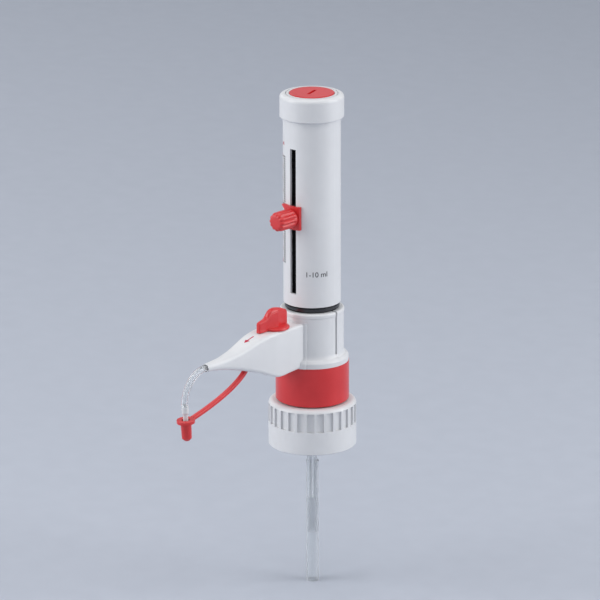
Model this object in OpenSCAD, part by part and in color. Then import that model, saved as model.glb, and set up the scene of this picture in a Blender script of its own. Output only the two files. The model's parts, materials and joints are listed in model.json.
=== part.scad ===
// Bottle-top piston dispenser: a glass burette pump that screws onto a GL45 reagent bottle.
// Millimetres, +Z up. The origin is the centre of the nut's lower face, where the bottle enters.
// The outlet arm and the volume slot face -Y, and "reach" below is a distance along -Y.

/* [Bottle nut] */
// Outer radius of the nut
nut_r = 27; // [26:0.5:28]
// Height of the nut
nut_h = 28.6; // [28:0.2:29]
// Radius at the thread's crests
thread_crest_r = 21.5; // [21.2:0.1:21.8]
// Radius at the thread's roots
thread_root_r = 22.8; // [22.6:0.1:23.2]
// Distance from one thread crest to the next
thread_pitch = 4; // [3.5:0.5:4]
// Number of grip pockets around the nut
pocket_count = 28; // [20:2:30]
// Lower and upper ends of the grip pockets
pocket_z = [14.6, 26.4]; // [12:0.2:27]
// Width of a grip pocket
pocket_w = 4.3; // [3:0.1:4.4]
// Depth of a grip pocket
pocket_depth = 1.3; // [0.6:0.1:1.6]

/* [Valve block and covers] */
// Radius of the stem that enters the bottle's neck
stem_r = 14; // [13.5:0.5:14.5]
// Radius of the block inside the covers
block_r = 17.9; // [17.9:0.1:18]
// Outer radius of the red collar
collar_r = 22.5; // [22:0.1:22.8]
// Lower and upper faces of the red collar
collar_z = [29.3, 53.7]; // [29:0.1:54]
// Outer radius of the two covers
cover_r = 19.3; // [19.2:0.1:19.6]
// Height of the covers' top face
cover_top = 87.4; // [87:0.1:88]
// Height where the covers' rim starts
rim_z = 84.9; // [83:0.1:85.2]
// Width of the slit between the two covers
slit_w = 1.5; // [0.6:0.1:1.6]

/* [Pump] */
// Bore radius of the glass cylinder
bore_r = 6.6; // [6.5:0.1:6.7]
// Largest stroke, which gives the largest volume
stroke = 73.1; // [60:0.1:75]
// Lower and upper ends of the glass cylinder
glass_z = [72.5, 178]; // [72:0.5:180]
// Outer radius of the black guide sleeve
guide_r = 15.8; // [15.8:0.1:15.9]
// Upper end of the guide sleeve
guide_top = 192; // [188:1:194]

/* [Housing] */
// Outer radius of the sliding housing
housing_r = 17.5; // [17.4:0.1:17.6]
// Lower end of the housing
housing_z = 91.2; // [90:0.1:93]
// Outer radius of the top cap
cap_r = 19.5; // [19.2:0.1:19.8]
// Lower and upper faces of the top cap
cap_z = [206.7, 221]; // [206:0.1:222]
// Width of the volume slot
slot_w = 4.5; // [4.5:0.1:4.8]
// Lower and upper ends of the volume slot
slot_z = [99, 189.3]; // [98:0.1:190]
// Radius of the calibration disc
disc_r = 13.6; // [13:0.1:13.6]

/* [Volume slider] */
// Height of the slider's centre as set
slider_z = 147.2; // [111:0.1:176]
// Half width and half height of the slider's saddle
saddle = [6, 7.2]; // [5.8:0.1:7.4]
// Radius of the clamp knob beside the slider
thumb_r = 6; // [5.8:0.1:6.2]
// Reach of the clamp knob's outer face
thumb_end = 33.5; // [32:0.5:36]

/* [Outlet arm] */
// Reach of the recirculation knob's axis
knob_reach = 34.5; // [34:0.5:36]
// Radius of the knob's round foot
knob_r = 9; // [8.5:0.1:9.2]
// Reach of the arm's nose
nose_reach = 96.5; // [94:0.5:96.5]
// Height of the discharge line through the arm
line_z = 71.2; // [71:0.1:71.4]
// Outer radius of the discharge tube
tube_r = 2.1; // [2:0.05:2.15]
// Radius of the bend in the discharge tube
bend_r = 18; // [17.5:0.5:19]
// Angle that the discharge tube bends through
bend_angle = 94; // [90:1:95]

/* [Dip tubes] */
// Lower end of the telescoping filling tube
dip_z = -90; // [-120:5:-80]
// Lower end of the recirculation tube
return_z = -32; // [-50:1:-25]

/* [Hidden] */
$fn = 96;
white = [0.90, 0.91, 0.93];
red = [0.85, 0.13, 0.13];
clear = [0.80, 0.86, 0.90, 0.45];
eps = 0.02;

// nut: the flange hangs under its top wall, and the seal lies under the flange
neck_r = block_r + 0.1;
flange_r = 21.4;
flange_z = [20.6, 25.4];
seal_z = [19, flange_z[0]];
nut_wall_z = flange_z[1] + 0.2;
thread_top = 17.8;
thread_z = [for (i = [0:3]) 2.5 + i * thread_pitch];
shoulder_r = 3;

// block: bores for the valves, the chamber under the piston and the channels
block_top = 74;
block_groove = 1.1;
boss_r = 11;
boss_top = 86;
glass_r = 8.3;
glass_seal_z = [71, glass_z[0]];
chamber_r = 6;
chamber_z = 55.5;
fill_r = 6.5;
fill_z = [4, 36];
fill_seat_z = [18, 20];
fill_hole_r = 1.9;
filling_ball_r = 3;
filling_ball_z = fill_seat_z[1] + sqrt(pow(filling_ball_r, 2) - pow(fill_hole_r, 2)) + eps;
riser_r = 2.2;
port_r = 1.4;
port_z = 57.5;
return_at = [5.9, -8.8];
return_r = 0.9;
return_tube_r = 2;
socket_r = 2.05;

// arm: each row is a section's reach, lower face, upper face, half width and corner radius
arm_sections = [
    [16, 54, 81.6, 8.4, 1.8], [30, 53.4, 81.6, 8.4, 1.8], [38, 52.8, 81.6, 8.4, 1.8],
    [42, 53.8, 81.6, 8.4, 1.9], [48, 56, 81.3, 8.1, 2.1], [54, 58.4, 80.6, 7.6, 2.4],
    [60, 60.6, 79.2, 7, 2.6], [66, 62.6, 77.5, 6.2, 2.7], [72, 64.4, 75.9, 5.4, 2.7],
    [78, 65.9, 74.9, 4.6, 2.7], [84, 67.2, 74.2, 3.8, 2.7], [90, 68.1, 74.1, 3.1, 2.7],
    [nose_reach, 68.6, 73.8, 2.6, 2.5],
];
corner_steps = 6;
arm_top = 81.6;
foot_z = arm_top + 0.1;
bush_r = 4.4;
bush_z = [58.1, 81.4];
plug_r = 3.2;
plug_z = [65.6, 86];
spigot_r = 2.1;
seat_z = [58.6, 60.5];
seat_hole_r = 1.3;
discharge_ball_r = 2.2;
discharge_ball_z = seat_z[1] + sqrt(pow(discharge_ball_r, 2) - pow(seat_hole_r, 2)) + eps;
fit = 0.05;

// discharge tube: straight through the arm, one bend, then the tip in the closure cap
bend_reach = 97;
bend_z = line_z - bend_r;
lumen_r = 1.2;
tip_len = 13.4;
tip_shoulder = 4.2;
mouth_at = 8.6;
closure_len = 13;
closure_flange = [5.5, 1.7];
closure_bore_r = 2.45;

// strap: a cubic curve in the plane X = 0, given by reach and height
strap_curve = [[60.5, 62], [66, 55.5], [81.5, 48.6], [108.5, 42.8]];
strap_half = [1.6, 1.1];
strap_steps = 18;

// pump
guide_wall = 1.6;
stop_ring_r = 16.8;
stop_ring_z = [88.3, 90.1];
channel_half = 4.8;
channel_floor = 12.9;
housing_bore_r = guide_r + 0.1;
housing_top = 214;
rod_r = 3.5;
piston_z = [74, 88];
piston_r = bore_r - 0.09;
lip_z = [78, 80.5];
head_r = 6.5;
head_z = [200, 214.5];
screw_r = 3;
disc_z = 218.8;
disc_top = cap_z[1] + 0.5;
disc_gap = 0.3;
coin_slot = [11.4, 1.9, 1.5];

// ---- helpers

module tube(outer, inner, z0, z1) {
    difference() {
        translate([0, 0, z0]) cylinder(r = outer, h = z1 - z0);
        translate([0, 0, z0 - 1]) cylinder(r = inner, h = z1 - z0 + 2);
    }
}

module rod_z(r, z0, z1) {
    translate([0, 0, z0]) cylinder(r = r, h = z1 - z0);
}

// A round bar along -Y from one reach to another, at a height
module bar_front(r, from, to, z, x = 0) {
    translate([x, -from, z]) rotate([90, 0, 0]) cylinder(r = r, h = to - from);
}

// Puts its children in the frame of the tube's free end: down is the way out of the tube
module at_tube_end() {
    translate([0, -bend_reach, bend_z]) rotate([bend_angle - 90, 0, 0])
        translate([0, -bend_r, 0]) children();
}

module front_box(half_w, from, to, z0, z1) {
    translate([-half_w, -to, z0]) cube([2 * half_w, to - from, z1 - z0]);
}

// ---- bottle nut

module threaded_nut() color(white) {
    difference() {
        rotate_extrude() polygon(concat(
            [[0, 0], [nut_r - 0.6, 0], [nut_r, 0.6]],
            [for (a = [0:15:90]) [nut_r - shoulder_r + shoulder_r * cos(a),
                                  nut_h - shoulder_r + shoulder_r * sin(a)]],
            [[0, nut_h]]));
        rod_z(thread_root_r, -1, thread_top);
        rod_z(flange_r + 0.2, thread_top - eps, nut_wall_z);
        rod_z(neck_r + 0.1, nut_wall_z - eps, nut_h + 1);
        translate([0, 0, -eps]) cylinder(r1 = thread_root_r + 0.8, r2 = thread_root_r, h = 0.8);
        for (i = [0:pocket_count - 1]) rotate([0, 0, i * 360 / pocket_count])
            translate([nut_r - pocket_depth, -pocket_w / 2, pocket_z[0]])
                cube([3, pocket_w, pocket_z[1] - pocket_z[0]]);
    }
    for (z = thread_z) rotate_extrude() polygon([
        [thread_root_r + 0.1, z - 1.4], [thread_crest_r, z - 0.6],
        [thread_crest_r, z + 0.6], [thread_root_r + 0.1, z + 1.4]]);
}

module bottle_seal() color([0.85, 0.85, 0.82]) {
    tube(flange_r + 0.2, 15.2, seal_z[0], seal_z[1] - fit);
}

// ---- valve block

module valve_block() color([0.86, 0.87, 0.88]) {
    difference() {
        union() {
            rod_z(stem_r, 5, flange_z[0] + 1);
            rod_z(flange_r, flange_z[0], flange_z[1]);
            rod_z(neck_r, flange_z[1] - 1, collar_z[1]);
            rod_z(block_r, collar_z[1] - 1, block_top);
            tube(block_r, guide_r + fit, block_top - 1, rim_z);
            tube(boss_r, glass_r + fit, block_top - 1, boss_top);
        }
        rod_z(fill_r + fit, 4, fill_z[1]);
        rod_z(riser_r, fill_z[1] - 1, chamber_z + 1);
        rod_z(chamber_r, chamber_z, glass_seal_z[0] + 1);
        rod_z(glass_r + fit, glass_seal_z[0], block_top + 1);
        bar_front(port_r, 0, block_r + 1, port_z);
        bar_front(return_r, -return_at[1], block_r + 1, line_z, return_at[0]);
        translate([return_at[0], return_at[1], 4]) {
            cylinder(r = return_r, h = line_z - 4);
            cylinder(r = socket_r, h = 12);
        }
        for (side = [0, 180]) rotate([0, 0, side])
            translate([block_r - block_groove, 0.1 - slit_w / 2, 60.4])
                cube([block_groove + 1, slit_w - 0.2, rim_z - 59]);
    }
}

module red_collar() color(red) {
    rotate_extrude() polygon([
        [neck_r + 0.1, collar_z[0]], [collar_r - 0.5, collar_z[0]],
        [collar_r, collar_z[0] + 0.5], [collar_r, collar_z[1]], [neck_r + 0.1, collar_z[1]]]);
}

// Half outline of the covers, moved outwards by a distance
function cover_outline(out) = concat(
    [[22.3 + out, 53.75], [22.3 + out, 56.6], [21.9 + out, 57.3]],
    [for (a = [0:15:90]) [cover_r + out + 1.6 * (1 - sin(a)), 61.2 - 2.9 * cos(a)]],
    [[cover_r + out, rim_z - 0.3], [cover_r + 0.3 + out, rim_z]]);

module cover_ring() {
    rotate_extrude() polygon(concat(
        [[block_r + 0.1, 53.75]], cover_outline(0),
        [for (a = [0:15:90]) [cover_r - 0.9 + 1.2 * cos(a), cover_top - 1.2 + 1.2 * sin(a)]],
        [[guide_r + 0.15, cover_top], [guide_r + 0.15, rim_z], [block_r + 0.1, rim_z]]));
}

module cover_front() color(white) {
    difference() {
        cover_ring();
        translate([-40, fit - 0.1, 50]) cube([80, 40, 50]);
        translate([-40, -slit_w / 2, 60.4]) cube([80, 40, 50]);
        front_box(8.5, 5, 40, 50, arm_top + 0.1);
    }
}

module cover_rear() color(white) {
    difference() {
        cover_ring();
        translate([-40, -40 + fit, 50]) cube([80, 40, 50]);
        translate([-40, -40 + slit_w / 2, 60.4]) cube([80, 40, 50]);
    }
}

module cylinder_seal() color([0.25, 0.25, 0.27]) {
    tube(glass_r, bore_r, glass_seal_z[0], glass_seal_z[1]);
}

module glass_cylinder() color(clear) {
    tube(glass_r, bore_r, glass_z[0], glass_z[1]);
}

module cylinder_jacket() color([0.8, 0.8, 0.85, 0.5]) {
    tube(9.9, glass_r + 0.2, boss_top, 182);
}

// The sleeve's channel holds the slider's clamp plate and keeps the housing from turning,
// and a ring at its foot shows in the gap under the lowered housing
module guide_sleeve() color([0.06, 0.06, 0.07]) {
    translate([0, 0, block_top]) linear_extrude(guide_top - block_top) difference() {
        union() {
            difference() {
                circle(guide_r);
                circle(guide_r - guide_wall);
            }
            intersection() {
                circle(guide_r);
                translate([-channel_half - 1.3, -guide_r]) square([2 * channel_half + 2.6,
                    guide_r - channel_floor + 1.3]);
            }
        }
        translate([-channel_half, -guide_r - 1])
            square([2 * channel_half, guide_r - channel_floor + 1]);
    }
    tube(stop_ring_r, guide_r - 0.7, stop_ring_z[0], stop_ring_z[1]);
}

// ---- filling valve and dip tubes

module filling_valve() color([0.86, 0.87, 0.88]) {
    difference() {
        rod_z(fill_r, fill_z[0], fill_z[1]);
        rod_z(3, fill_z[0] - 1, 14);
        rod_z(2, 13, fill_seat_z[0] + 1);
        rod_z(4.5, fill_seat_z[0], fill_z[1] + 1);
        tube(fill_r + 1, 5.5, 30, 32);
    }
}

module filling_valve_ring() color([0.12, 0.12, 0.12]) {
    rotate_extrude() translate([5.5 + 0.5, 31]) circle(0.5, $fn = 48);
}

module filling_valve_seat() color([0.92, 0.92, 0.9]) {
    tube(4.5, fill_hole_r, fill_seat_z[0], fill_seat_z[1]);
}

module filling_ball() color([0.75, 0.2, 0.3]) {
    translate([0, 0, filling_ball_z]) sphere(filling_ball_r);
}

module ball_retainer() color([0.86, 0.87, 0.88]) {
    difference() {
        rod_z(4.5, 26.6, 28.6);
        for (a = [0:90:270]) rotate([0, 0, a]) translate([2.7, 0, 25])
            cylinder(r = 1.1, h = 5);
    }
}

module filling_tube_upper() color(clear) {
    tube(3, 2, -58, 14);
}

module filling_tube_lower() color(clear) {
    tube(3.9, 3.06, dip_z, -12);
}

module recirculation_tube() color(clear) {
    translate([return_at[0], return_at[1], 0]) tube(return_tube_r, 1.2, return_z, 16);
}

// ---- outlet arm

// Rounded rectangle of one arm section, as points in space
function arm_ring(s) = [
    for (corner = [0:3], step = [0:corner_steps])
        let (a = 90 * corner + 90 * step / corner_steps,
             sx = corner == 0 || corner == 3 ? 1 : -1,
             sz = corner < 2 ? 1 : -1,
             mid = (s[1] + s[2]) / 2,
             r = min(s[4], s[3], (s[2] - s[1]) / 2))
        [sx * (s[3] - r) + r * cos(a), -s[0], mid + sz * ((s[2] - s[1]) / 2 - r) + r * sin(a)]];

module loft(rings) {
    n = len(rings[0]);
    m = len(rings);
    polyhedron(
        points = [for (ring = rings) each ring],
        faces = concat(
            [[for (i = [0:n - 1]) i]],
            [[for (i = [n - 1:-1:0]) (m - 1) * n + i]],
            [for (k = [0:m - 2], i = [0:n - 1])
                [k * n + i, (k + 1) * n + i, (k + 1) * n + (i + 1) % n, k * n + (i + 1) % n]]));
}

// The arm's foot is a thin saddle that lies on the front cover
module arm_housing() color(white) {
    difference() {
        union() {
            loft([for (s = arm_sections) arm_ring(s)]);
            intersection() {
                rotate_extrude() polygon(concat([[block_r, 54]], cover_outline(0.45),
                    [[block_r, rim_z - 0.4]]));
                front_box(10.4, 12, 30, 54, arm_top + 0.7);
            }
        }
        cover_ring_space();
        rod_z(block_r + fit, 40, 90);
        translate([0, -knob_reach, bush_z[0] - 0.1]) cylinder(r = bush_r + fit, h = 40);
        bar_front(port_r, 15, knob_reach, port_z);
        translate([0, -knob_reach, port_z]) cylinder(r = seat_hole_r, h = 2);
        bar_front(return_r, 15, knob_reach, line_z, return_at[0]);
        translate([0, -knob_reach, line_z]) rotate([0, 90, 0])
            cylinder(r = return_r, h = return_at[0]);
        bar_front(tube_r + fit, knob_reach, nose_reach + 1, line_z);
        front_box(strap_half[0] + fit, 58.7, 62.3, 55, 66);
        front_box(strap_half[0] + fit, 58.7, 63.6, 55, 62.1);
    }
}

// The space that the covers fill beside the arm's window
module cover_ring_space() {
    difference() {
        rotate_extrude() polygon(concat([[block_r - 1, 50], [22.3 + fit, 50]],
            cover_outline(fit), [[block_r - 1, rim_z]]));
        front_box(8.4, 5, 40, 40, arm_top);
    }
}

module valve_bush() color([0.95, 0.95, 0.93]) {
    translate([0, -knob_reach, 0]) difference() {
        rod_z(bush_r, bush_z[0], bush_z[1]);
        rod_z(seat_hole_r, bush_z[0] - 1, bush_z[1]);
        rod_z(plug_r + fit, seat_z[0], bush_z[1] + 1);
        bar_front(lumen_r, 0, bush_r + 1, line_z);
        translate([0, 0, line_z]) rotate([0, 90, 0]) cylinder(r = return_r, h = bush_r + 1);
    }
}

module discharge_seat() color([0.92, 0.92, 0.9]) {
    translate([0, -knob_reach, 0]) tube(plug_r, seat_hole_r, seat_z[0], seat_z[1]);
}

module discharge_ball() color([0.75, 0.2, 0.3]) {
    translate([0, -knob_reach, discharge_ball_z]) sphere(discharge_ball_r);
}

// The plug's bore comes up its axis and leaves towards the knob's pointer
module valve_plug() color([0.95, 0.95, 0.93]) {
    translate([0, -knob_reach, 0]) difference() {
        union() {
            rod_z(plug_r, plug_z[0], bush_z[1]);
            rod_z(spigot_r, bush_z[1] - 1, plug_z[1]);
        }
        rod_z(seat_hole_r, plug_z[0] - 1, line_z);
        bar_front(lumen_r, 0, plug_r + 1, line_z);
        tube(plug_r + 1, 2.4, 76, 77.6);
    }
}

module plug_ring() color([0.12, 0.12, 0.12]) {
    translate([0, -knob_reach, 76.8]) rotate_extrude()
        translate([2.8, 0]) circle(0.4, $fn = 48);
}

// Side view (reach, height) and plan (reach, half width) of the knob's pointer grip
module recirculation_knob() color(red) {
    side = [[49.8, foot_z], [49.8, 87.6], [49, 88.4], [44, 89.3], [42.5, 90.6], [41, 92.7], [39.4, 94.2],
            [37, 94.5], [33.5, 94.3], [29, 93.2], [24.9, 91.2], [24, 90.2], [24, foot_z]];
    plan = [[50, 1.5], [36.5, 2.9], [32.5, 2.9], [23.8, 2]];
    difference() {
        union() {
            translate([0, -knob_reach, foot_z]) cylinder(r = knob_r, h = 1.6);
            intersection() {
                rotate([90, 0, -90]) translate([0, 0, -10]) linear_extrude(20) polygon(side);
                translate([0, 0, 80]) linear_extrude(20) polygon(concat(
                    [for (p = plan) [p[1], -p[0]]],
                    [for (i = [len(plan) - 1:-1:0]) [-plan[i][1], -plan[i][0]]]));
            }
        }
        translate([0, -knob_reach, 0]) rod_z(spigot_r, 80, plug_z[1]);
    }
}

module discharge_tube() color(clear) {
    start = knob_reach + bush_r + 0.1;
    translate([0, -start, line_z]) rotate([90, 0, 0]) linear_extrude(bend_reach - start)
        tube_section();
    translate([0, -bend_reach, bend_z]) rotate([180, -90, 0])
        rotate_extrude(angle = bend_angle) translate([bend_r, 0]) tube_section();
}

module tube_section() {
    difference() {
        circle(tube_r, $fn = 48);
        circle(lumen_r, $fn = 48);
    }
}

module discharge_tip() color([0.93, 0.93, 0.95, 0.8]) {
    at_tube_end() difference() {
        union() {
            rod_z(lumen_r - fit, -2, 1.3);
            rod_z(tube_r, -tip_shoulder, -0.05);
            translate([0, 0, -tip_shoulder - 1]) cylinder(r1 = 1.55, r2 = tube_r, h = 1);
            rod_z(1.55, -tip_len, -tip_shoulder - 0.9);
        }
        rod_z(0.7, -tip_len - 1, 4);
    }
}

module closure_cap() color(red) {
    at_tube_end() translate([0, 0, -mouth_at]) difference() {
        union() {
            rod_z(closure_flange[0], -closure_flange[1], 0);
            translate([0, 0, -closure_len + 1.4])
                cylinder(r1 = 3, r2 = 3.3, h = closure_len - 2.4);
            translate([0, 0, -closure_len]) cylinder(r1 = 1.7, r2 = 3, h = 1.4 + eps);
        }
        rod_z(closure_bore_r, -9.5, 1);
    }
}

function bezier(p, t) = pow(1 - t, 3) * p[0] + 3 * t * pow(1 - t, 2) * p[1]
    + 3 * t * t * (1 - t) * p[2] + pow(t, 3) * p[3];
function slope(p, t) = let (d = bezier(p, min(1, t + 0.01)) - bezier(p, max(0, t - 0.01))) d / norm(d);

module cap_strap() color(red) {
    rings = [for (i = [0:strap_steps])
        let (t = i / strap_steps, c = bezier(strap_curve, t), d = slope(strap_curve, t),
             n = [-d[1], d[0]])
        [for (k = [[1, 1], [-1, 1], [-1, -1], [1, -1]])
            let (q = c + k[1] * strap_half[1] * n) [k[0] * strap_half[0], -q[0], q[1]]]];
    loft(rings);
    front_box(strap_half[0], 58.8, 62.2, 61.4, 65.8);
}

// ---- housing and piston

module housing_sleeve() color(white) {
    difference() {
        tube(housing_r, housing_bore_r, housing_z, housing_top);
        front_box(slot_w / 2, 10, 20, slot_z[0], slot_z[1]);
    }
}

module top_cap() color(white) {
    difference() {
        rotate_extrude() polygon(concat(
            [[0, cap_z[0] + 0.3], [cap_r - 0.4, cap_z[0]], [cap_r, cap_z[0] + 0.4]],
            [for (a = [0:15:90]) [cap_r - 2.4 + 2.4 * cos(a), cap_z[1] - 2.4 + 2.4 * sin(a)]],
            [[0, cap_z[1]]]));
        rod_z(housing_r, cap_z[0] - 1, housing_top);
        rod_z(housing_bore_r, housing_top - eps, head_z[1]);
        rod_z(screw_r + 0.1, 210, 230);
        rod_z(disc_r + disc_gap, disc_z, 230);
        tube(16.1, 15.4, cap_z[1] - 0.9, 230);
    }
}

module rod_head() color([0.86, 0.87, 0.88]) {
    difference() {
        rod_z(head_r, head_z[0], head_z[1]);
        rod_z(screw_r + 0.1, 204, 220);
        rod_z(rod_r, head_z[0] - 1, 203);
    }
}

module piston_rod() color([0.9, 0.9, 0.88]) {
    rod_z(rod_r, piston_z[1] - 4, 203);
}

module piston() color([0.93, 0.93, 0.91]) {
    difference() {
        rod_z(piston_r, piston_z[0], piston_z[1]);
        rod_z(rod_r, piston_z[1] - 4, piston_z[1] + 1);
        tube(piston_r + 1, 5.4, lip_z[0], lip_z[1]);
    }
}

module piston_seal() color([0.95, 0.95, 0.92]) {
    tube(bore_r - 0.02, 5.4, lip_z[0], lip_z[1]);
}

module calibration_disc() color(red) {
    difference() {
        rotate_extrude() polygon([[0, disc_z + 0.1], [disc_r, disc_z + 0.1],
            [disc_r, disc_top - 0.3], [disc_r - 0.3, disc_top], [0, disc_top]]);
        rotate([0, 0, -72])
            translate([-coin_slot[0] / 2, -coin_slot[1] / 2, disc_top - coin_slot[2]])
                cube(coin_slot + [0, 0, 1]);
        rod_z(screw_r, disc_z - 1, disc_z + 0.6);
    }
}

module calibration_screw() color([0.6, 0.62, 0.65]) {
    rod_z(screw_r, 205, disc_z + 0.6);
}

// ---- volume slider

module arc_plate(inner, outer, half_w, z0, z1) {
    intersection() {
        tube(outer, inner, z0, z1);
        front_box(half_w, 5, 40, z0, z1);
    }
}

module slider_carriage() color(red) {
    difference() {
        union() {
            arc_plate(housing_r + 0.15, 19.3, saddle[0], slider_z - saddle[1], slider_z + saddle[1]);
            front_box(2.1, 15.8, 18.6, slider_z - 5.5, slider_z + 5.5);
            intersection() {
                tube(19.3, housing_r + 0.15, slider_z + 3, slider_z + saddle[1] + 1);
                translate([0, 0, slider_z]) rotate([90, 0, 0]) linear_extrude(30)
                    polygon([[-5, 3.4], [-5, saddle[1]], [-8.2, saddle[1] - 0.2], [-9.9, 6.4]]);
            }
            bar_front(5, 18.5, 19.7, slider_z);
        }
        bar_front(1.55, 10, 25, slider_z);
    }
}

module clamp_plate() color([0.7, 0.72, 0.75]) {
    difference() {
        intersection() {
            rod_z(guide_r - 0.1, slider_z - 6.5, slider_z + 6.5);
            front_box(4.3, 13.3, 17, slider_z - 6.5, slider_z + 6.5);
        }
        bar_front(1.55, 10, 25, slider_z);
    }
}

module clamp_stud() color([0.7, 0.72, 0.75]) {
    bar_front(1.5, 13.2, 24, slider_z);
}

module clamp_knob() color(red) {
    translate([0, -19.9, slider_z]) rotate([90, 0, 0]) difference() {
        length = thumb_end - 19.9;
        rotate_extrude() polygon(concat(
            [[0, 0], [thumb_r - 0.6, 0], [thumb_r, 0.6]],
            [for (a = [0:15:90]) [thumb_r - 2.4 + 1.8 * cos(a), length - 1.8 + 1.8 * sin(a)]],
            [[0, length]]));
        translate([0, 0, -1]) cylinder(r = 1.5, h = 5.1);
        for (i = [0:11]) rotate([0, 0, i * 30 + 15]) translate([thumb_r + 0.3, 0, 1.2])
            cylinder(r = 1.1, h = 20, $fn = 32);
    }
}

threaded_nut();
bottle_seal();
valve_block();
red_collar();
cover_front();
cover_rear();
cylinder_seal();
glass_cylinder();
cylinder_jacket();
guide_sleeve();
filling_valve();
filling_valve_ring();
filling_valve_seat();
filling_ball();
ball_retainer();
filling_tube_upper();
filling_tube_lower();
recirculation_tube();
arm_housing();
valve_bush();
discharge_seat();
discharge_ball();
valve_plug();
plug_ring();
recirculation_knob();
discharge_tube();
discharge_tip();
closure_cap();
cap_strap();
housing_sleeve();
top_cap();
rod_head();
piston_rod();
piston();
piston_seal();
calibration_disc();
calibration_screw();
slider_carriage();
clamp_plate();
clamp_stud();
clamp_knob();
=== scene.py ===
"""Looks of the bottle-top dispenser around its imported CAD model. Metres, +Z up, outlet arm along -Y."""
import json
import math

import bmesh
import bpy
from mathutils import Matrix, Vector


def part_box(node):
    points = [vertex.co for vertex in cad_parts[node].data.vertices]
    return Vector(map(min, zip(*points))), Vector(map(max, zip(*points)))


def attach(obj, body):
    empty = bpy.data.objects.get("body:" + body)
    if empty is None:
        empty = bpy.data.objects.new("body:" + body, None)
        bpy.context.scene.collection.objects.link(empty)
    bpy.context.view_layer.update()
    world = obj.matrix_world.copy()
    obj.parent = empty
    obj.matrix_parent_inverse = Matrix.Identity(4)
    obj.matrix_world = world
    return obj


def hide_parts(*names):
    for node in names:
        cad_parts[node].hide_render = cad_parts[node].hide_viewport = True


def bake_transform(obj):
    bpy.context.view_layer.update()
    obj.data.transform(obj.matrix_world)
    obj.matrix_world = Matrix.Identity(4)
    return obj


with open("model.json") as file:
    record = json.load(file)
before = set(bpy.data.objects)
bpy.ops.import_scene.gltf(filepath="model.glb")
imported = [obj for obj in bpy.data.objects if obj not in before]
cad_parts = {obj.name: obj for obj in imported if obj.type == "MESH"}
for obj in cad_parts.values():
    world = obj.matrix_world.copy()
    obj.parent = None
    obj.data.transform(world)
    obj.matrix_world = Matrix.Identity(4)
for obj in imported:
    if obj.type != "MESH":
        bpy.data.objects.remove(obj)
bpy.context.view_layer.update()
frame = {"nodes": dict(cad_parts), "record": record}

MM = 0.001
NODES = frame["nodes"]
scene = bpy.context.scene


# ---------------------------------------------------------------- camera, light and floor

CAMERA_AZIMUTH = 41.0        # degrees from the outlet arm towards +X
CAMERA_DISTANCE = 2.470      # horizontal distance from the pump's axis
CAMERA_HEIGHT = 0.845
CAMERA_YAW = 0.1718          # the axis stands slightly right of the centre
CAMERA_PITCH = 16.973        # looking down
CAMERA_ROLL = -0.16          # the camera was not quite level
SENSOR = 36.0
LENS = 254.64


def add_camera():
    data = bpy.data.cameras.new("camera")
    data.sensor_width = SENSOR
    data.lens = LENS
    data.clip_start = 0.1
    data.clip_end = 50
    camera = bpy.data.objects.new("camera", data)
    scene.collection.objects.link(camera)
    a = math.radians(CAMERA_AZIMUTH)
    camera.location = (CAMERA_DISTANCE * math.sin(a), -CAMERA_DISTANCE * math.cos(a), CAMERA_HEIGHT)
    turn = (Matrix.Rotation(math.radians(CAMERA_AZIMUTH + CAMERA_YAW), 3, "Z")
            @ Matrix.Rotation(math.radians(90 - CAMERA_PITCH), 3, "X")
            @ Matrix.Rotation(math.radians(CAMERA_ROLL), 3, "Z"))
    camera.rotation_euler = turn.to_euler()
    scene.camera = camera


def around(azimuth, radius, height):
    """A point at an azimuth in degrees from the outlet arm towards +X."""
    a = math.radians(azimuth)
    return Vector((radius * math.sin(a), -radius * math.cos(a), height))


def area_light(name, azimuth, radius, height, size, power, target=(0, 0, 0.1)):
    data = bpy.data.lights.new(name, "AREA")
    data.shape = "RECTANGLE"
    data.size, data.size_y = size
    data.energy = power
    light = bpy.data.objects.new(name, data)
    scene.collection.objects.link(light)
    light.location = around(azimuth, radius, height)
    light.rotation_euler = (Vector(target) - light.location).to_track_quat("-Z", "Y").to_euler()
    light.visible_camera = False


# ---------------------------------------------------------------- materials

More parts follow.
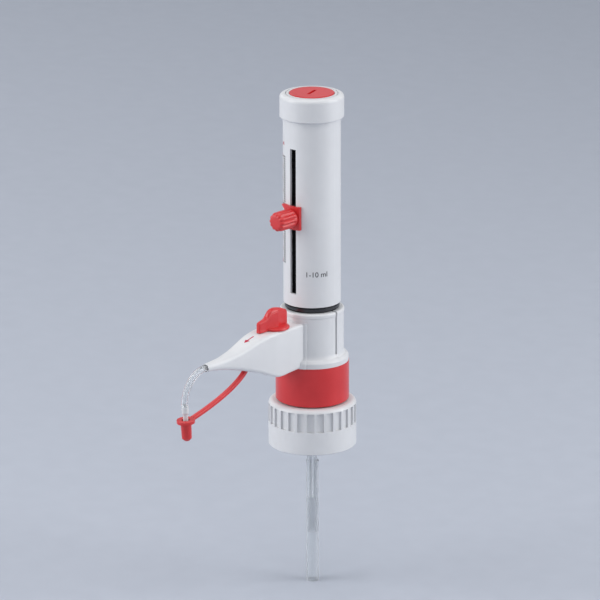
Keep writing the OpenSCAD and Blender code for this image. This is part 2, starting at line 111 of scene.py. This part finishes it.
class Nodes:
    """Short calls for building a material's node tree."""

    def __init__(self, name):
        self.material = bpy.data.materials.new(name)
        self.material.use_nodes = True
        self.tree = self.material.node_tree
        self.shader = self.tree.nodes["Principled BSDF"]
        self.position = self.add("ShaderNodeTexCoord").outputs["Object"]

    def add(self, kind, **values):
        node = self.tree.nodes.new(kind)
        for key, value in values.items():
            setattr(node, key, value)
        return node

    def link(self, a, b):
        self.tree.links.new(a, b)

    def set(self, **values):
        for key, value in values.items():
            self.shader.inputs[key.replace("_", " ")].default_value = value

    def noise(self, scale, detail=2.0, roughness=0.5):
        node = self.add("ShaderNodeTexNoise")
        node.inputs["Scale"].default_value = scale
        node.inputs["Detail"].default_value = detail
        node.inputs["Roughness"].default_value = roughness
        self.link(self.position, node.inputs["Vector"])
        return node.outputs["Fac"]

    def ramp(self, value, low, high, a, b):
        """value from low to high becomes a to b."""
        node = self.add("ShaderNodeMapRange")
        self.link(value, node.inputs["Value"])
        for key, number in (("From Min", low), ("From Max", high), ("To Min", a), ("To Max", b)):
            node.inputs[key].default_value = number
        return node.outputs["Result"]

    def mix(self, factor, a, b):
        node = self.add("ShaderNodeMix", data_type="RGBA")
        self.link(factor, node.inputs["Factor"])
        node.inputs["A"].default_value = (*a, 1)
        node.inputs["B"].default_value = (*b, 1)
        return node.outputs["Result"]

    def bump(self, height, distance, strength=1.0, edge=None):
        node = self.add("ShaderNodeBump")
        node.inputs["Strength"].default_value = strength
        node.inputs["Distance"].default_value = distance
        self.link(height, node.inputs["Height"])
        if edge:
            round_edge = self.add("ShaderNodeBevel", samples=4)
            round_edge.inputs["Radius"].default_value = edge
            self.link(round_edge.outputs["Normal"], node.inputs["Normal"])
        self.link(node.outputs["Normal"], self.shader.inputs["Normal"])


def plastic(name, dark, light, roughness, coat=0.0, subsurface=0.0, edge=0.00025, grain=2600):
    """Moulded plastic: slow tone drift, fine satin grain, faint sink waviness and rounded edges."""
    n = Nodes(name)
    tone = n.noise(38, 3, 0.6)
    n.link(n.mix(n.ramp(tone, 0.35, 0.65, 0, 1), dark, light), n.shader.inputs["Base Color"])
    fine = n.noise(grain, 2, 0.6)
    n.link(n.ramp(fine, 0.3, 0.7, roughness * 0.86, roughness * 1.14), n.shader.inputs["Roughness"])
    n.bump(fine, 0.000012, 1.0, edge)
    n.set(IOR=1.49, Coat_Weight=coat, Coat_Roughness=0.12)
    if subsurface:
        n.set(Subsurface_Weight=subsurface, Subsurface_Scale=0.002)
        n.shader.inputs["Subsurface Radius"].default_value = (1.0, 0.9, 0.8)
    return n.material


def clear(name, color, roughness, ior, haze, clarity=1.0):
    """Clear glass or fluoropolymer, with a slight haze and draw lines; less clarity makes it milky."""
    n = Nodes(name)
    n.set(Transmission_Weight=clarity, IOR=ior)
    n.shader.inputs["Base Color"].default_value = (*color, 1)
    fine = n.noise(900, 3, 0.6)
    n.link(n.ramp(fine, 0.3, 0.7, roughness, roughness + haze), n.shader.inputs["Roughness"])
    n.bump(n.noise(120, 1), 0.000003, 1.0)
    return n.material


def steel(name):
    n = Nodes(name)
    stretch = n.add("ShaderNodeMapping")
    stretch.inputs["Scale"].default_value = (60, 60, 2600)
    n.link(n.position, stretch.inputs["Vector"])
    lines = n.add("ShaderNodeTexNoise")
    lines.inputs["Scale"].default_value = 1.0
    n.link(stretch.outputs["Vector"], lines.inputs["Vector"])
    n.link(n.ramp(lines.outputs["Fac"], 0.3, 0.7, 0.22, 0.42), n.shader.inputs["Roughness"])
    n.link(n.mix(lines.outputs["Fac"], (0.55, 0.56, 0.58), (0.70, 0.71, 0.73)), n.shader.inputs["Base Color"])
    n.bump(lines.outputs["Fac"], 0.00001, 1.0)
    n.set(Metallic=1.0)
    return n.material


def ink(name, color):
    """Screen-printed ink: even, slightly glossy, with tiny thin spots."""
    n = Nodes(name)
    spots = n.noise(5200, 2)
    paler = tuple(c * 0.75 + 0.12 for c in color)
    n.link(n.mix(n.ramp(spots, 0.62, 0.8, 0, 1), color, paler), n.shader.inputs["Base Color"])
    n.link(n.ramp(spots, 0.3, 0.7, 0.7, 0.9), n.shader.inputs["Roughness"])
    n.set(Specular_IOR_Level=0.05)
    return n.material


WHITE = plastic("white_plastic", (0.725, 0.728, 0.742), (0.76, 0.763, 0.775), 0.34, coat=0.12,
                subsurface=0.04)
RED = plastic("red_plastic", (0.62, 0.024, 0.027), (0.70, 0.032, 0.035), 0.32, coat=0.18, subsurface=0.03)
NATURAL = plastic("natural_plastic", (0.66, 0.67, 0.68), (0.72, 0.73, 0.74), 0.42, subsurface=0.15)
BLACK = plastic("black_plastic", (0.016, 0.016, 0.019), (0.024, 0.024, 0.028), 0.28, coat=0.3)
FLUORO = plastic("white_fluoropolymer", (0.78, 0.78, 0.76), (0.84, 0.84, 0.82), 0.5, subsurface=0.2)
RUBBER = plastic("black_elastomer", (0.012, 0.012, 0.013), (0.022, 0.022, 0.024), 0.6)
GLASS = clear("borosilicate_glass", (0.97, 0.99, 1.0), 0.0, 1.47, 0.02)
TUBE = clear("clear_fluoropolymer", (0.94, 0.955, 0.97), 0.02, 1.30, 0.01, 0.86)
STEEL = steel("stainless_steel")
BLACK_INK = ink("black_ink", (0.02, 0.02, 0.025))
RED_INK = ink("red_ink", (0.52, 0.03, 0.07))

SLOT_MATERIAL = {
    "white_plastic": WHITE, "red_plastic": RED, "natural_plastic": NATURAL, "black_plastic": BLACK,
    "glass": GLASS, "clear_tube": TUBE, "fluoropolymer": FLUORO, "steel": STEEL,
    "seal_rubber": RUBBER, "valve_ball": GLASS,
}


def paint_cad_nodes():
    for row in frame["record"]["subparts"]:
        for slot in NODES[row["node"]].material_slots:
            slot.material = SLOT_MATERIAL[row["material_slot"]]


# ---------------------------------------------------------------- mesh tools

def lerp_table(rows, x):
    """Smooth values at x from rows of (x, value, value, ...): a monotone cubic through each column."""
    xs = [r[0] for r in rows]
    if x <= xs[0]:
        return list(rows[0][1:])
    if x >= xs[-1]:
        return list(rows[-1][1:])
    k = max(i for i in range(len(xs) - 1) if xs[i] <= x)
    out = []
    for c in range(1, len(rows[0])):
        y = [r[c] for r in rows]
        d = [(y[i + 1] - y[i]) / (xs[i + 1] - xs[i]) for i in range(len(xs) - 1)]
        inner = [0 if d[i - 1] * d[i] <= 0 else (d[i - 1] + d[i]) / 2 for i in range(1, len(d))]
        m = [d[0], *inner, d[-1]]
        h = xs[k + 1] - xs[k]
        t = (x - xs[k]) / h
        out.append((2 * t ** 3 - 3 * t ** 2 + 1) * y[k] + (t ** 3 - 2 * t ** 2 + t) * h * m[k]
                   + (-2 * t ** 3 + 3 * t ** 2) * y[k + 1] + (t ** 3 - t ** 2) * h * m[k + 1])
    return out


def mesh_object(name, vertices, faces, material, sharp=35):
    """A closed mesh in millimetres becomes a smooth-shaded object in metres."""
    mesh = bpy.data.meshes.new(name)
    mesh.from_pydata([Vector(v) * MM for v in vertices], [], faces)
    obj = bpy.data.objects.new(name, mesh)
    scene.collection.objects.link(obj)
    mesh.materials.append(material)
    finish_mesh(obj, sharp)
    return obj


def finish_mesh(obj, sharp=35):
    """Outward normals, smooth faces, and creases where faces meet at more than sharp degrees."""
    bm = bmesh.new()
    bm.from_mesh(obj.data)
    bmesh.ops.remove_doubles(bm, verts=bm.verts, dist=1e-7)
    bmesh.ops.recalc_face_normals(bm, faces=bm.faces)
    for face in bm.faces:
        face.smooth = True
    for edge in bm.edges:
        edge.smooth = edge.calc_face_angle(0) < math.radians(sharp)
    bm.to_mesh(obj.data)
    bm.free()


def rings_to_faces(count, size, closed=False):
    """Quads between count rings of size points, with both ends capped unless the rings close up."""
    faces = []
    for k in range(count if closed else count - 1):
        a, b = k * size, (k + 1) % count * size
        faces += [(a + i, a + (i + 1) % size, b + (i + 1) % size, b + i) for i in range(size)]
    if not closed:
        faces += [tuple(range(size))[::-1], tuple((count - 1) * size + i for i in range(size))]
    return faces


def cut(obj, cutter):
    """Takes the cutter's volume out of the object, and removes the cutter."""
    modifier = obj.modifiers.new("cut", "BOOLEAN")
    modifier.operation = "DIFFERENCE"
    modifier.solver = "EXACT"
    modifier.object = cutter
    graph = bpy.context.evaluated_depsgraph_get()
    mesh = bpy.data.meshes.new_from_object(obj.evaluated_get(graph))
    obj.modifiers.clear()
    obj.data = mesh
    bpy.data.objects.remove(cutter)
    finish_mesh(obj)


def rounded_rectangle(half_x, low, high, radius, steps=7):
    """Points (x, z) around a rectangle with rounded corners."""
    radius = min(radius, half_x - 0.01, (high - low) / 2 - 0.01)
    points = []
    for corner, (sx, sz) in enumerate(((1, 1), (-1, 1), (-1, -1), (1, -1))):
        cx = sx * (half_x - radius)
        cz = (high - radius) if sz > 0 else (low + radius)
        for s in range(steps + 1):
            a = math.radians(90 * corner + 90 * s / steps)
            points.append((cx + radius * math.cos(a), cz + radius * math.sin(a)))
    return points


def cylinder(name, p0, p1, radius, sides=64):
    """A closed cylinder between two points in millimetres, used as a cutter or a pin."""
    p0, p1 = Vector(p0), Vector(p1)
    turn = (p1 - p0).to_track_quat("Z", "Y")
    vertices = []
    for p in (p0, p1):
        for i in range(sides):
            a = 2 * math.pi * i / sides
            vertices.append(p + turn @ Vector((radius * math.cos(a), radius * math.sin(a), 0)))
    return mesh_object(name, vertices, rings_to_faces(2, sides), WHITE)


def block(name, low, high):
    x, y, z = zip(low, high)
    vertices = [(x[i], y[j], z[k]) for i in (0, 1) for j in (0, 1) for k in (0, 1)]
    faces = [(0, 1, 3, 2), (4, 6, 7, 5), (0, 4, 5, 1), (2, 3, 7, 6), (0, 2, 6, 4), (1, 5, 7, 3)]
    return mesh_object(name, vertices, faces, WHITE)


def join(name, *objects):
    """Joins objects into the first one and names it."""
    bm = bmesh.new()
    for o in objects:
        bm.from_mesh(o.data)
    bm.to_mesh(objects[0].data)
    bm.free()
    for o in objects[1:]:
        bpy.data.objects.remove(o)
    objects[0].name = name
    return objects[0]


# ---------------------------------------------------------------- outlet arm

# reach, lower face, upper face, half width, corner radius
ARM = [
    (16, 54, 81.6, 8.4, 1.6), (30, 53.3, 81.6, 8.4, 1.6), (36, 52.8, 81.6, 8.4, 1.7),
    (39, 52.9, 81.6, 8.4, 1.8), (42, 53.7, 81.6, 8.4, 1.9), (48, 56, 81.35, 8.1, 2.2),
    (54, 58.4, 80.6, 7.6, 2.5), (60, 60.6, 79.2, 7.0, 2.7), (66, 62.6, 77.5, 6.2, 2.8),
    (72, 64.4, 75.9, 5.4, 2.8), (78, 65.9, 74.9, 4.6, 2.8), (84, 67.2, 74.2, 3.8, 2.8),
    (90, 68.1, 74.05, 3.1, 2.8), (94, 68.5, 73.9, 2.75, 2.7), (96.5, 68.65, 73.75, 2.55, 2.5),
]
ARM_STATIONS = 124      # steps along the arm
KNOB_REACH = 34.5
BUSH_R = 4.4
LINE_Z = 71.2           # height of the discharge line
BLOCK_R = 17.95         # the valve block and a little air
COVER_R = 19.3
SADDLE_HALF_W = 10.4
SADDLE_THICK = 0.46     # out of the cover's surface
SADDLE_AIR = 0.04       # between the cover and the saddle
TUBE_R, LUMEN_R = 2.1, 1.2


def cover_profile(out):
    """(radius, height) up the covers' outside, moved outwards."""
    points = [(22.3, 53.8), (22.3, 56.6), (21.9, 57.3)]
    points += [(COVER_R + 1.6 * (1 - math.sin(math.radians(a))), 61.2 - 2.9 * math.cos(math.radians(a)))
               for a in range(0, 91, 10)]
    points += [(COVER_R, 66 + 4 * i) for i in range(4)] + [(COVER_R, 82.2)]
    return [(r + out, z) for r, z in points]


def build_arm():
    rings, size = [], 0
    for i in range(ARM_STATIONS + 1):
        reach = ARM[0][0] + (ARM[-1][0] - ARM[0][0]) * i / ARM_STATIONS
        low, high, half, radius = lerp_table(ARM, reach)
        ring = rounded_rectangle(half, low, high, radius)
        size = len(ring)
        rings.append([(x, -reach, z) for x, z in ring])
    arm = mesh_object("outlet_arm", [p for ring in rings for p in ring],
                      rings_to_faces(len(rings), size), WHITE)
    cut(arm, cylinder("cut_block", (0, 0, 40), (0, 0, 90), BLOCK_R, 128))

    # the saddle that lies on the front cover, with a rounded edge all round
    outer, inner = cover_profile(SADDLE_AIR + SADDLE_THICK), cover_profile(SADDLE_AIR)
    steps = 40
    edge = math.asin(SADDLE_HALF_W / (COVER_R + 0.5))
    vertices = []
    for i in range(steps + 1):
        a = edge * (2 * i / steps - 1)
        t = min(1.0, (steps / 2 - abs(i - steps / 2)) / 2)
        lift = math.sqrt(max(0.0, 1 - (1 - t) ** 2))
        for (r, z), (ri, _) in zip(outer, inner):
            rr = ri + lift * (r - ri)
            vertices.append((rr * math.sin(a), -rr * math.cos(a), z))
        for r, z in reversed(inner):
            vertices.append((r * math.sin(a), -r * math.cos(a), z))
    saddle = mesh_object("saddle", vertices, rings_to_faces(steps + 1, 2 * len(outer)), WHITE)

    cut(arm, cylinder("cut_line", (0, -60, LINE_Z), (0, -99, LINE_Z), TUBE_R + 0.05, 48))
    cut(arm, cylinder("cut_knob", (0, -KNOB_REACH, 57), (0, -KNOB_REACH, 90), BUSH_R + 0.05))
    cut(arm, block("cut_strap", (-1.7, -63.9, 55), (1.7, -58.5, 66.3)))
    arm = join("outlet_arm", arm, saddle)
    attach(arm, "valve_body")
    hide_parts("arm_housing")


def arm_top(reach):
    return lerp_table(ARM, reach)[1]


def arm_arrow():
    """Printed arrow on the arm's top that points to the outlet."""
    start, end, half = 53.6, 61.6, 0.42
    stations = [start + (end - start) * i / 12 for i in range(13)]
    vertices, faces = [], []

    def strip(line, widths):
        base = len(vertices)
        for (x, reach), w in zip(line, widths):
            z = arm_top(reach) + 0.03
            for side in (-1, 1):
                for dz in (0, 0.05):
                    vertices.append((x + side * w, -reach, z - 0.03 + dz))
        for i in range(len(line) - 1):
            a, b = base + 4 * i, base + 4 * (i + 1)
            faces.extend([(a + 1, a + 3, b + 3, b + 1), (a, b, b + 2, a + 2),
                          (a, a + 1, b + 1, b), (a + 2, b + 2, b + 3, a + 3)])
        a, b = base, base + 4 * (len(line) - 1)
        faces.extend([(a, a + 2, a + 3, a + 1), (b, b + 1, b + 3, b + 2)])

    strip([(0, s) for s in stations], [half] * len(stations))
    head = [end - 2.6 + 3.2 * i / 8 for i in range(9)]
    strip([(0, s) for s in head], [1.7 * (1 - i / 8) + 0.03 for i in range(9)])
    arrow = mesh_object("arm_arrow", vertices, faces, RED_INK)
    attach(arrow, "valve_body")


# ---------------------------------------------------------------- recirculation knob

FOOT_Z = 81.7
# reach, height of the ridge, height of the sides' upper edge
KNOB = [
    (24.0, 90.0, 89.2), (24.6, 91.0, 90.2), (26.5, 92.0, 91.0), (29.5, 93.3, 92.0), (32.5, 94.1, 92.4),
    (34.4, 94.4, 92.5), (36.6, 94.5, 92.4), (38.8, 94.2, 91.8), (40.2, 93.4, 91.0), (41.4, 92.1, 90.2),
    (42.6, 90.4, 89.4), (44.2, 89.2, 88.7), (47, 88.7, 88.2), (49.0, 88.2, 87.7), (49.8, 87.6, 87.1),
]
KNOB_HALF = (1.0, 3.0, 1.4)      # half width at the back, at the axis and at the pointer's tip


def build_knob():
    """Pointer grip with flat sides under a crowned top, on a round foot."""
    rings, steps, corner = [], 86, 0.7
    first, last = KNOB[0][0], KNOB[-1][0]
    for i in range(steps + 1):
        reach = first + (last - first) * i / steps
        ridge, edge = lerp_table(KNOB, reach)
        back, middle, tip = KNOB_HALF
        half = (middle + (back - middle) * (KNOB_REACH - reach) / (KNOB_REACH - first) if reach < KNOB_REACH
                else middle + (tip - middle) * (reach - KNOB_REACH) / (last - KNOB_REACH))
        depth = corner - min(corner, min(reach - first, last - reach))
        half -= corner - math.sqrt(corner ** 2 - depth ** 2)
        ring = [(half, FOOT_Z), (half, FOOT_Z + 3), (half, edge - 0.35), (half - 0.1, edge - 0.1),
                (half - 0.35, edge + 0.1)]
        for angle in range(8, 89, 8):
            a = math.radians(angle)
            ring.append(((half - 0.35) * math.cos(a), edge + 0.1 + (ridge - edge - 0.1) * math.sin(a)))
        mirrored = [(-x, z) for x, z in reversed(ring)]
        rings.append([(x, -reach, z) for x, z in ring + mirrored])
    grip = mesh_object("grip", [p for r in rings for p in r],
                       rings_to_faces(len(rings), len(rings[0])), RED, 12)

    profile = [(0, FOOT_Z), (8.7, FOOT_Z), (8.95, FOOT_Z + 0.25), (9, FOOT_Z + 0.7), (8.85, FOOT_Z + 1.2),
               (8.5, FOOT_Z + 1.55), (7.9, FOOT_Z + 1.7), (0, FOOT_Z + 1.7)]
    foot = lathe("foot", profile, RED, 96)
    foot.data.transform(Matrix.Translation((0, -KNOB_REACH * MM, 0)))
    knob = join("recirculation_grip", grip, foot)
    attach(knob, "recirculation_valve")
    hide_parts("recirculation_knob")


def lathe(name, profile, material, sides=96, sharp=35):
    """A closed solid of revolution about Z from (radius, height) in millimetres; its ends lie on the axis."""
    bm = bmesh.new()
    columns = []
    for i in range(sides):
        a = 2 * math.pi * i / sides
        x, y = MM * math.cos(a), MM * math.sin(a)
        columns.append([bm.verts.new((r * x, r * y, z * MM)) for r, z in profile])
    for i in range(sides):
        a, b = columns[i], columns[(i + 1) % sides]
        for j in range(len(profile) - 1):
            bm.faces.new((a[j], b[j], b[j + 1], a[j + 1]))
    bmesh.ops.remove_doubles(bm, verts=bm.verts, dist=1e-7)
    bmesh.ops.dissolve_degenerate(bm, dist=1e-7, edges=bm.edges)
    mesh = bpy.data.meshes.new(name)
    bm.to_mesh(mesh)
    bm.free()
    obj = bpy.data.objects.new(name, mesh)
    scene.collection.objects.link(obj)
    mesh.materials.append(material)
    finish_mesh(obj, sharp)
    return obj


# ---------------------------------------------------------------- strap

STRAP = [(60.5, 62.0), (66, 55.5), (81.5, 48.6), (108.5, 42.8)]
STRAP_HALF = (1.6, 1.1)


def bezier(p, t):
    return tuple((1 - t) ** 3 * p[0][k] + 3 * t * (1 - t) ** 2 * p[1][k] + 3 * t * t * (1 - t) * p[2][k]
                 + t ** 3 * p[3][k] for k in (0, 1))


def build_strap():
    rings, steps = [], 90
    for i in range(steps + 1):
        t = i / steps
        c = bezier(STRAP, t)
        a, b = bezier(STRAP, max(0, t - 0.01)), bezier(STRAP, min(1, t + 0.01))
        d = Vector((b[0] - a[0], b[1] - a[1])).normalized()
        n = Vector((-d.y, d.x))
        section = rounded_rectangle(STRAP_HALF[0], -STRAP_HALF[1], STRAP_HALF[1], 0.5, 4)
        rings.append([(x, -(c[0] + n.x * h), c[1] + n.y * h) for x, h in section])
    strap = mesh_object("closure_strap", [p for r in rings for p in r],
                        rings_to_faces(len(rings), len(rings[0])), RED)
    root = block("strap_root", (-1.6, -62.2, 61.4), (1.6, -58.8, 65.8))
    root.data.materials.clear()
    root.data.materials.append(RED)
    strap = join("closure_strap", strap, root)
    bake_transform(strap)
    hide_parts("cap_strap")


# ---------------------------------------------------------------- discharge tube

TUBE_START, BEND_REACH, BEND_R, BEND_ANGLE = 39.0, 97.0, 18.0, 94


def build_discharge_tube():
    """Clear tube along the arm and round one bend: an outer and an inner skin joined at both ends."""
    straight = [(TUBE_START + (BEND_REACH - TUBE_START) * i / 24, LINE_Z, 0.0) for i in range(24)]
    bend = []
    for i in range(121):
        a = math.radians(BEND_ANGLE * i / 120)
        bend.append((BEND_REACH + BEND_R * math.sin(a), LINE_Z - BEND_R + BEND_R * math.cos(a), a))
    path, sides = straight + bend, 40
    rings = []
    for radius, stations in ((TUBE_R, path), (LUMEN_R, path[::-1])):
        for reach, z, a in stations:
            ring = []
            for k in range(sides):
                t = 2 * math.pi * k / sides
                out = radius * math.sin(t)
                ring.append((radius * math.cos(t), -(reach + out * math.sin(a)), z + out * math.cos(a)))
            rings.append(ring)
    tube = mesh_object("outlet_tube", [p for r in rings for p in r],
                       rings_to_faces(len(rings), sides, closed=True), TUBE, 50)
    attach(tube, "valve_body")
    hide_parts("discharge_tube")


# ---------------------------------------------------------------- clamp knob

RIB_COUNT = 12
RIB_DEPTH = 0.9


def build_clamp_knob():
    """Round knob with rounded ribs along its axis and a domed outer end."""
    low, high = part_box("clamp_knob")
    centre = (low + high) / 2 / MM
    start, end = -high.y / MM, -low.y / MM
    length = end - start
    radius = (high.z - low.z) / 2 / MM
    sides, rings = 144, []
    profile = [(0.0, -0.7), (0.15, -0.35), (0.5, -0.1), (1.0, 0.0)]
    profile += [(1.0 + (length - 4.0) * i / 10, -0.04 * i / 10) for i in range(1, 11)]
    for angle in range(10, 91, 8):
        a = math.radians(angle)
        profile.append((length - 3 + 3 * math.sin(a) * 0.999, -0.04 - 2.4 * (1 - math.cos(a)) ** 1.2))
    vertices = []
    for along, dr in profile:
        fade = min(1.0, max(0.0, along - 0.9) / 0.8) * (1 if along < length - 1.5 else 0.75)
        for i in range(sides):
            a = 2 * math.pi * i / sides
            rib = 0.5 + 0.5 * math.cos(RIB_COUNT * a)
            depth = RIB_DEPTH * fade * (1 - rib ** 0.6)
            r = max(0.05, radius + dr - depth)
            vertices.append((centre.x + r * math.cos(a), -(start + along), centre.z + r * math.sin(a)))
    knob = mesh_object("clamp_grip", vertices, rings_to_faces(len(profile), sides), RED, 50)
    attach(knob, "slider_clamp")
    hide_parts("clamp_knob")


# ---------------------------------------------------------------- printing on the housing

def wrapped(name, vertices, faces, radius, material, thick=0.04):
    """Flat outlines (arc length, height) in millimetres laid on the housing as thin printed ink."""
    solid, quads = [], []
    count = len(vertices)
    for lift in (0.0, thick):
        for s, z in vertices:
            a = s / radius
            r = radius + lift
            solid.append((r * math.sin(a), -r * math.cos(a), z))
    edges = {}
    for f in faces:
        for i in range(len(f)):
            e = (f[i], f[(i + 1) % len(f)])
            edges[e] = edges.get(e, 0) + 1
    for f in faces:
        quads.append(tuple(i + count for i in f))
        quads.append(tuple(reversed(f)))
    for a, b in edges:
        if (b, a) not in edges:
            quads.append((a, b, b + count, a + count))
    obj = mesh_object(name, solid, quads, material)
    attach(obj, "housing")
    return obj


def rectangles(rows):
    """Rows of (low s, high s, low z, high z) as vertices and faces; wide ones are split so that they wrap."""
    vertices, faces = [], []
    for s0, s1, z0, z1 in rows:
        cuts = max(1, int(abs(s1 - s0) / 0.8))
        for i in range(cuts):
            a, b = s0 + (s1 - s0) * i / cuts, s0 + (s1 - s0) * (i + 1) / cuts
            base = len(vertices)
            vertices += [(a, z0), (b, z0), (b, z1), (a, z1)]
            faces.append((base, base + 1, base + 2, base + 3))
    return vertices, faces


def text_outline(body, size, centre_s, centre_z):
    """A number or unit in the built-in font as flat vertices and faces."""
    curve = bpy.data.curves.new("text", "FONT")
    curve.body = body
    curve.size = size
    curve.align_x, curve.align_y = "CENTER", "CENTER"
    curve.resolution_u = 3
    obj = bpy.data.objects.new("text", curve)
    scene.collection.objects.link(obj)
    graph = bpy.context.evaluated_depsgraph_get()
    mesh = bpy.data.meshes.new_from_object(obj.evaluated_get(graph))
    bm = bmesh.new()
    bm.from_mesh(mesh)
    bmesh.ops.triangulate(bm, faces=bm.faces)
    bmesh.ops.remove_doubles(bm, verts=bm.verts, dist=1e-5)
    for face in bm.faces:
        if face.normal.z < 0:
            face.normal_flip()
    bm.verts.index_update()
    vertices = [(centre_s + v.co.x, centre_z + v.co.y) for v in bm.verts]
    faces = [tuple(v.index for v in f.verts) for f in bm.faces]
    bm.free()
    bpy.data.objects.remove(obj)
    bpy.data.curves.remove(curve)
    return vertices, faces


SCALE_TOP = 183.1       # height of the 1 ml tick
SCALE_STEP = 7.31       # height of one millilitre
SCALE_ARC = -7.4        # arc length from the slot's centre to the ticks' right ends
TICKS_PER_STEP = 5
TICK_COUNT = 46
LONG_TICK, SHORT_TICK, TICK_HALF = 4.6, 3.4, 0.3
INK_LIFT = 0.01         # keeps the ink clear of the housing's own surface
LABEL_ANGLE, LABEL_Z = 50, 112


def build_scale():
    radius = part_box("housing_sleeve")[1].x / MM
    ink_r = radius + INK_LIFT
    rows = []
    for i in range(TICK_COUNT):
        z = SCALE_TOP - i * SCALE_STEP / TICKS_PER_STEP
        length = LONG_TICK if i % TICKS_PER_STEP == 0 else SHORT_TICK
        rows.append((SCALE_ARC - length, SCALE_ARC, z - TICK_HALF, z + TICK_HALF))
    ticks = wrapped("scale_ticks", *rectangles(rows), ink_r, BLACK_INK)
    vertices, faces = [], []
    for number in range(1, 11):
        v, f = text_outline(str(number), 3.0, SCALE_ARC - 6.6, SCALE_TOP - (number - 1) * SCALE_STEP)
        faces += [tuple(i + len(vertices) for i in face) for face in f]
        vertices += v
    v, f = text_outline("ml", 3.2, SCALE_ARC - 3.4, SCALE_TOP + 8.0)
    faces += [tuple(i + len(vertices) for i in face) for face in f]
    vertices += v
    numbers = wrapped("scale_numbers", vertices, faces, ink_r, RED_INK)
    v, f = text_outline("1-10 ml", 4.6, radius * math.radians(LABEL_ANGLE), LABEL_Z)
    label = wrapped("range_label", v, f, ink_r, BLACK_INK)


# ---------------------------------------------------------------- stage

FLOOR_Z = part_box("filling_tube_lower")[0].z - 0.0002
FLOOR_SIZE = 14
FLOOR_TONES = (0.46, 0.49, 0.56), (0.48, 0.51, 0.58)


def build_floor():
    bpy.ops.mesh.primitive_plane_add(size=1)
    floor = bpy.context.object
    floor.name = "floor"
    floor.scale = (FLOOR_SIZE, FLOOR_SIZE, 1)
    floor.location = (0, 0, FLOOR_Z)
    n = Nodes("floor_paper")
    grain = n.noise(900, 3)
    n.link(n.mix(n.ramp(grain, 0.3, 0.7, 0, 1), *FLOOR_TONES), n.shader.inputs["Base Color"])
    n.link(n.ramp(grain, 0.3, 0.7, 0.75, 0.9), n.shader.inputs["Roughness"])
    floor.data.materials.append(n.material)


def build_light():
    world = bpy.data.worlds.new("world")
    scene.world = world
    world.use_nodes = True
    back = world.node_tree.nodes["Background"]
    back.inputs["Color"].default_value = (0.90, 0.94, 1.0, 1)
    back.inputs["Strength"].default_value = 0.46
    area_light("soft_left", -38, 1.5, 0.75, (1.1, 1.6), 16)
    area_light("soft_right", 122, 1.5, 0.7, (1.1, 1.6), 16)
    area_light("soft_top", 30, 0.4, 1.9, (1.6, 1.6), 9)
    area_light("back_left", 255, 1.7, 0.9, (1.2, 1.2), 3.5, around(236, 1.4, FLOOR_Z))


def main():
    scene.view_settings.view_transform = "Standard"
    scene.view_settings.look = "None"
    paint_cad_nodes()
    build_arm()
    arm_arrow()
    build_knob()
    build_strap()
    build_discharge_tube()
    build_clamp_knob()
    build_scale()
    build_floor()
    build_light()
    add_camera()


main()
